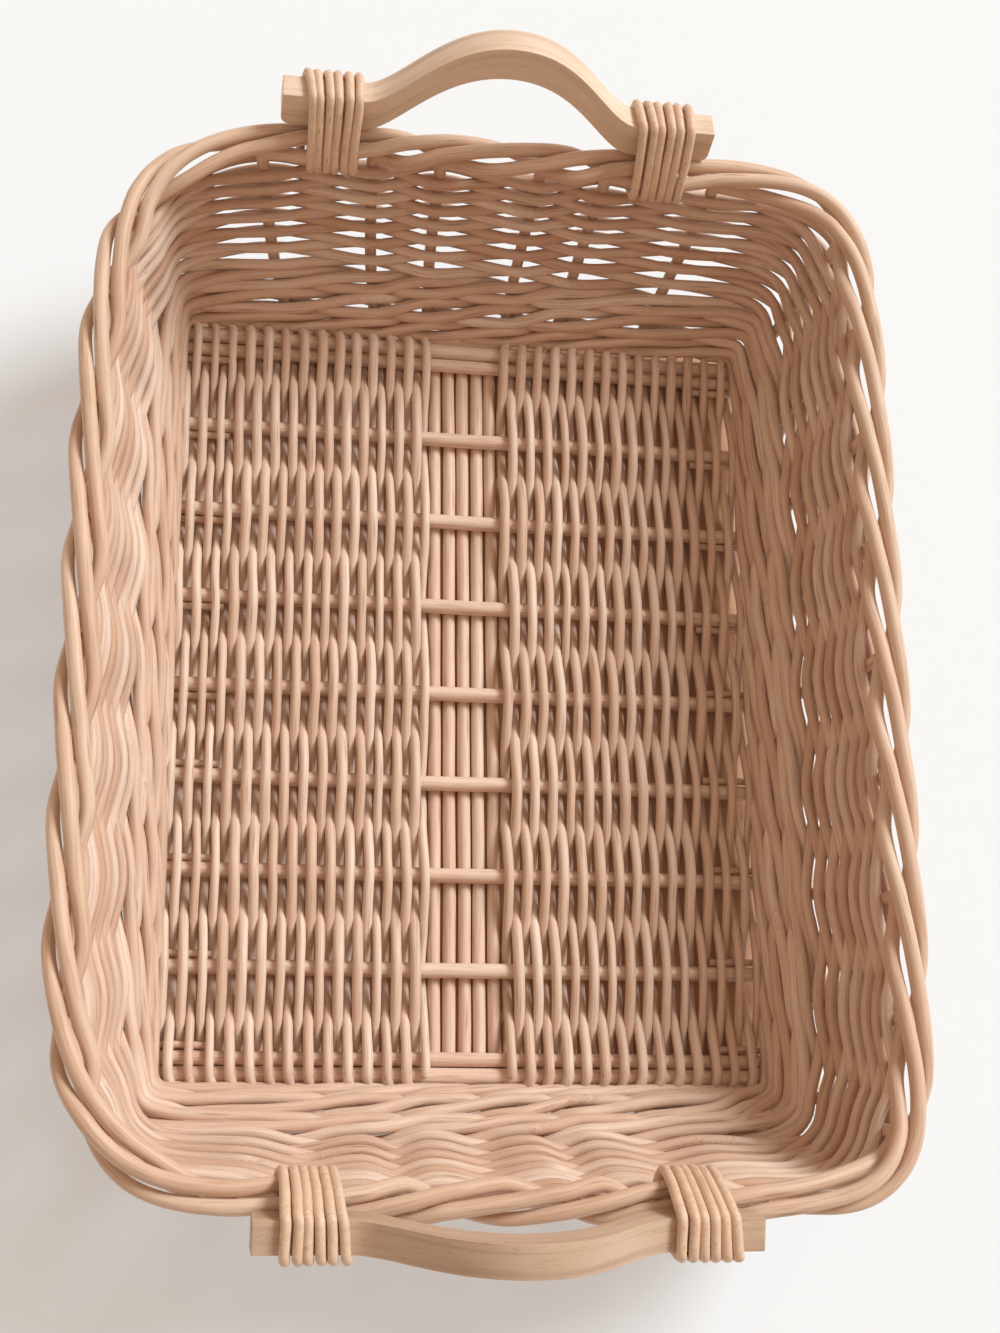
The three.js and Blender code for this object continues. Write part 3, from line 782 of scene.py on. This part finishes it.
WEAVER_OUT = STAKE_HALF + WEAVER / 2 * WEAVER_SWELL - PRESSED
WEAVER_FIRST_Z = WALE_FIRST_Z + (WALE_ROWS - 1) * WALE_ROW_PITCH + WALE_STEP + WEAVER_ROW_PITCH


def add_weaver(rod):
    """Outside every other stake and inside the ones between."""
    places = places_along(WEAVER_TURNS, WEAVER_POINTS_PER_STAKE)
    own_tones = changing_tones(places, WEAVER_TONES, WEAVER_JOIN_STAKES + JOIN_SHIFT * rod)
    path = []
    for place, tone in zip(places, own_tones):
        row = rod + WEAVERS * level_along(place, WEAVER_TURNS)
        z = WEAVER_FIRST_Z + row * WEAVER_ROW_PITCH
        wave = math.cos(math.pi * (place + rod))
        out = WEAVER_OUT * math.copysign(abs(wave) ** WEAVER_WAVE_POWER, wave)
        path.append(Point(wall_point(place, z, out), WEAVER / 2 * WEAVER_SWELL, tone))
    add_rod(f"wall_weaver_{rod + 1}", narrowed(path), WILLOW,
            sides=8, step=0.0026, wander=(0.0004, 0.0004, 0.0009), wander_length=0.035,
            thickness_change=0.3)


# Handles and lashings, drawn in a section square to the rim

LASHED_STAKE_X = mat_run_x(END_STAKE_RUNS[LASHED_STAKE]) * RIM_HALF_X / FOOT_HALF_X
LASHING_WIDTH = LASHING_TURNS * LASHING_PITCH + LASHING
LASHING_CENTRE = LASHED_STAKE_X + BORDER_ROD / 2 + LASHING_OFF_STAKE + LASHING_WIDTH / 2
ARCH_HALF = LASHING_CENTRE - ARCH_OFF_LASHING
HANDLE_UP = Vector((math.sin(HANDLE_LEAN), math.cos(HANDLE_LEAN)))
HANDLE_OUT = Vector((math.cos(HANDLE_LEAN), -math.sin(HANDLE_LEAN)))
BORDER_SECTION = [Vector(values) for _, values in BORDER_ROUTE]


def handle_corners(z):
    corner = Vector((HANDLE_INSET, z))
    across, up = HANDLE_OUT * HANDLE_THICKNESS, HANDLE_UP * HANDLE_DEPTH
    return [corner, corner + across, corner + up, corner + across + up]


def seat_height():
    """Height at which the underside of the handle just clears the border rods."""
    height = BORDER_START
    reach = BORDER_ROD / 2 + GAP
    for start, end in zip(BORDER_SECTION, BORDER_SECTION[1:]):
        for tenth in range(11):
            rod = start.lerp(end, tenth / 10)
            before = HANDLE_INSET - rod.x
            if before > reach:
                continue
            if before > 0:
                above = math.sqrt(reach ** 2 - before ** 2)
            else:
                above = reach / HANDLE_UP.y - before * math.tan(HANDLE_LEAN)
            height = max(height, rod.y + above)
    return height


HANDLE_SEAT = seat_height()


def arch(x):
    """Rise of the handle at a place along it, a bend between two straight ends."""
    if abs(x) >= ARCH_HALF:
        return 0
    # Halving finds the share of the bend that lies at x
    low, high = 0.0, 1.0
    for _ in range(30):
        t = (low + high) / 2
        along = (1 - t) ** 3 + 3 * (1 - t) ** 2 * t * ARCH_FOOT + 3 * (1 - t) * t ** 2 * ARCH_TOP
        low, high = (t, high) if along * ARCH_HALF > abs(x) else (low, t)
    return HANDLE_RISE * (3 * (1 - t) * t ** 2 + t ** 3)


def in_rim_frame(x, across, height, turn):
    """A point of the handle: along it, outwards from its inner face and up from its underside."""
    section = HANDLE_OUT * across + HANDLE_UP * height
    point = Vector((x, RIM_HALF_Y + HANDLE_INSET + section.x, HANDLE_SEAT + section.y))
    point.rotate(Euler((0, 0, turn)))
    return point


def handle_stations():
    """Places along the handle, from end to end and close together in its rounded corners."""
    corner_start = HANDLE_LENGTH / 2 - HANDLE_CORNER
    corner = [HANDLE_LENGTH / 2
              - HANDLE_CORNER * (1 - math.cos(math.pi / 2 * i / HANDLE_CORNER_STEPS))
              for i in range(HANDLE_CORNER_STEPS + 1)]
    inside = [corner_start - corner_start * 2 * i / HANDLE_STEPS for i in range(1, HANDLE_STEPS)]
    return [*corner, *inside, *[-x for x in reversed(corner)]]


def add_handle(name, turn):
    xs = handle_stations()
    places, grain = [], []
    for x in xs:
        into_corner = max(0, abs(x) - (HANDLE_LENGTH / 2 - HANDLE_CORNER)) / HANDLE_CORNER
        lift = HANDLE_CORNER * (1 - math.sqrt(max(0, 1 - into_corner ** 2)))
        for across in (0, HANDLE_THICKNESS):
            for height in (lift, HANDLE_DEPTH):
                places.append(in_rim_frame(x, across, arch(x) + height, turn) * MM)
                grain.append(Vector((x, across, height)) * MM)
    ring = (0, 1, 3, 2)
    last = 4 * (len(xs) - 1)
    faces = [(start + a, start + b, start + 4 + b, start + 4 + a)
             for start in range(0, last, 4) for a, b in zip(ring, ring[1:] + ring[:1])]
    faces += [tuple(reversed(ring)), tuple(last + a for a in ring)]
    mesh = bpy.data.meshes.new(name)
    mesh.from_pydata(places, [], faces)
    mesh.attributes.new("grain", "FLOAT_VECTOR", "POINT").data.foreach_set(
        "vector", [value for place in grain for value in place])
    face_outwards(mesh)
    piece = placed("bent_wood_" + name, mesh)
    bevel = piece.modifiers.new("rounded edges", "BEVEL")
    bevel.width, bevel.segments = HANDLE_EDGE * MM, HANDLE_EDGE_STEPS
    bevel.angle_limit = HANDLE_EDGE_ANGLE
    apply_modifiers(piece)
    piece.data.materials.append(HANDLE_WOODS[name])
    piece.data.shade_smooth()
    fitted(piece, "bent_wood", name)


def face_outwards(mesh):
    shell = bmesh.new()
    shell.from_mesh(mesh)
    bmesh.ops.remove_doubles(shell, verts=shell.verts, dist=0.01 * MM)
    bmesh.ops.recalc_face_normals(shell, faces=shell.faces)
    shell.to_mesh(mesh)
    shell.free()


def lashing_loop():
    """A rounded loop close round the border and the handle."""
    corners = handle_corners(HANDLE_SEAT)
    clear = GAP + LASHING / 2

    def reach(angle):
        towards = Vector((math.cos(angle), math.sin(angle)))
        border = max(rod.dot(towards) for rod in BORDER_SECTION) + BORDER_ROD / 2
        return max(border, *(corner.dot(towards) for corner in corners)) + clear

    step = 2 * math.pi / LASHING_STEPS
    loop = []
    for i in range(LASHING_STEPS):
        first = i * step - math.pi / 2
        a, b = reach(first), reach(first + step)
        along = (b - a * math.cos(step)) / math.sin(step)
        loop.append(Vector((a * math.cos(first) - along * math.sin(first),
                            a * math.sin(first) + along * math.cos(first))))
    return [(loop[i - 1] + 2 * loop[i] + loop[(i + 1) % LASHING_STEPS]) / 4
            for i in range(LASHING_STEPS)]


def add_lashing(name, centre_x, turn):
    """Turns of cane round the loop, which slip a little and draw together inside the basket."""
    loop = lashing_loop()
    innermost, outermost = min(corner.x for corner in loop), max(corner.x for corner in loop)
    slips = [draw.uniform(-LASHING_SLIP, LASHING_SLIP) for _ in range(2 * LASHING_TURNS + 2)]
    path = []
    for i in range(LASHING_TURNS * LASHING_STEPS + 1):
        corner = loop[i % LASHING_STEPS]
        half_turn, share = divmod(2 * i / LASHING_STEPS, 1)
        slip = slips[int(half_turn)] * (1 - share) + slips[int(half_turn) + 1] * share
        inside = (outermost - corner.x) / (outermost - innermost)
        offset = ((i / LASHING_STEPS - LASHING_TURNS / 2) * LASHING_PITCH
                  * (LASHING_SPREAD - LASHING_NARROWING * inside))
        point = Vector((centre_x + offset + slip, RIM_HALF_Y + corner.x, corner.y))
        point.rotate(Euler((0, 0, turn)))
        path.append(Point(point, LASHING / 2 * LASHING_SWELL, tone_between(*CANE_TONES)))
    add_rod(name, path, CANE, made_of="cane", slot="cane",
            sides=10, step=0.0018, wander=(0.0016, 0.0004, 0.0004), wander_length=0.03,
            thickness_change=0.3)


def add_end(end_name, turn):
    add_handle(f"handle_{end_name}", turn)
    for side in (-1, 1):
        side_name = "left" if side * math.cos(turn) < 0 else "right"
        add_lashing(f"lashing_{end_name}_{side_name}", side * LASHING_CENTRE, turn)


for i in range(SINGLE_STICKS):
    add_stick(f"cross_stick_{i + 1}", (i - (SINGLE_STICKS - 1) / 2) * STICK_PITCH, STICK)
for end_name, direction in (("front", -1), ("back", 1)):
    add_stick(f"end_stick_{end_name}_inner", direction * INNER_END_STICK_Y, INNER_END_STICK)
    add_stick(f"end_stick_{end_name}_outer", direction * OUTER_END_STICK_Y, OUTER_END_STICK)
for i in range(CENTRE_RODS):
    add_centre_rod(f"centre_rod_{i + 1}", (i - (CENTRE_RODS - 1) / 2) * CENTRE_ROD_PITCH)
add_mat("base_mat_left", -1)
add_mat("base_mat_right", 1)
for i in range(STAKE_COUNT):
    add_stake(i)
for rod in range(WALE_RODS):
    add_wale_rod(rod)
for rod in range(WEAVERS):
    add_weaver(rod)
add_end("back", 0)
add_end("front", math.pi)


# Floor, light and camera. The floor's sizes are in metres

FLOOR_HALF = 6
FLOOR_COLOUR = (0.84, 0.92, 1, 1)
FLOOR_GLOW = 0.3
# Painted shade on the floor under the base, brown like light thrown back by the wood, with a soft edge
# this wide in metres
PAINTED_SHADE_COLOUR = (0.72, 0.45, 0.29, 1)
PAINTED_SHADE_EDGE = 0.004
WHITE = (1, 1, 1, 1)
SKY_COLOUR = (1, 0.715, 0.505, 1)
SKY_STRENGTH = 0.52
CAMERA_PLACE = Vector((-143.2, -257, 889.5)) * MM
CAMERA_TURN = (0.2965, -0.1775, -0.009)
FOCAL_PX = 1935
FRAME_HEIGHT_PX = 1333
SENSOR_WIDTH = 36


def add_floor():
    """A pale floor with painted brown shade right under the base, where it shows through the gaps in
    the mats.
    """
    corners = [(x * FLOOR_HALF, y * FLOOR_HALF, 0) for x, y in ((-1, -1), (1, -1), (1, 1), (-1, 1))]
    mesh = bpy.data.meshes.new("floor")
    mesh.from_pydata(corners, [], [(0, 1, 2, 3)])
    floor = placed("floor", mesh)
    material, tree, shader = new_material("pale_floor")
    tree.feed(shader.inputs["Roughness"], 0.9)
    place = tree.add("ShaderNodeTexCoord").outputs["Object"]
    sides = tree.add("ShaderNodeSeparateXYZ", place).outputs
    outside = [tree.calculate("SUBTRACT", tree.calculate("ABSOLUTE", side), half * MM)
               for side, half in zip(sides, (FOOT_HALF_X, FOOT_HALF_Y))]
    # Painted shade: under the base the floor takes the brown shade colour and no glow, and clear rises
    # to 1 just outside the foot
    clear = tree.ranged(tree.calculate("MAXIMUM", *outside), 0, PAINTED_SHADE_EDGE, 0, 1)
    tree.feed(shader.inputs["Base Color"], tree.mixed(clear, PAINTED_SHADE_COLOUR, FLOOR_COLOUR))
    glow = tree.add("ShaderNodeEmission", WHITE, 1)
    rays = tree.add("ShaderNodeLightPath")
    seen = tree.calculate("MULTIPLY", rays.outputs["Is Camera Ray"],
                          tree.calculate("MULTIPLY", clear, FLOOR_GLOW))
    shown = tree.add("ShaderNodeMixShader", seen, shader.outputs[0], glow.outputs[0])
    tree.feed(material.node_tree.nodes["Material Output"].inputs[0], shown.outputs[0])
    mesh.materials.append(material)


def add_world():
    """White where it is seen or mirrored, and warm as a light."""
    world = bpy.data.worlds.new("studio")
    bpy.context.scene.world = world
    world.use_nodes = True
    tree = Tree(world.node_tree)
    background = world.node_tree.nodes["Background"]
    rays = tree.add("ShaderNodeLightPath")
    seen = tree.calculate("MAXIMUM", rays.outputs["Is Camera Ray"], rays.outputs["Is Glossy Ray"])
    tree.feed(background.inputs["Color"], tree.mixed(seen, SKY_COLOUR, WHITE))
    tree.feed(background.inputs["Strength"], tree.ranged(seen, 0, 1, SKY_STRENGTH, 1))


def add_sun(name, direction, strength, angle, color):
    light = bpy.data.lights.new(name, "SUN")
    light.energy, light.angle, light.color = strength, math.radians(angle), color
    placed(name, light).rotation_euler = Vector(direction).to_track_quat("-Z", "Y").to_euler()


def add_camera():
    """Where the photograph was taken from, fitted to the base, the rim and the handles."""
    data = bpy.data.cameras.new("camera")
    data.sensor_width = SENSOR_WIDTH
    data.lens = FOCAL_PX / FRAME_HEIGHT_PX * data.sensor_width
    camera = placed("camera", data)
    camera.location = CAMERA_PLACE
    camera.rotation_euler = CAMERA_TURN
    bpy.context.scene.camera = camera


bpy.context.scene.view_settings.view_transform = "Standard"
add_floor()
add_world()
add_sun("window light", direction=(-0.60, -0.45, -0.66), strength=2.9, angle=24,
        color=(0.95, 1, 1))
add_camera()
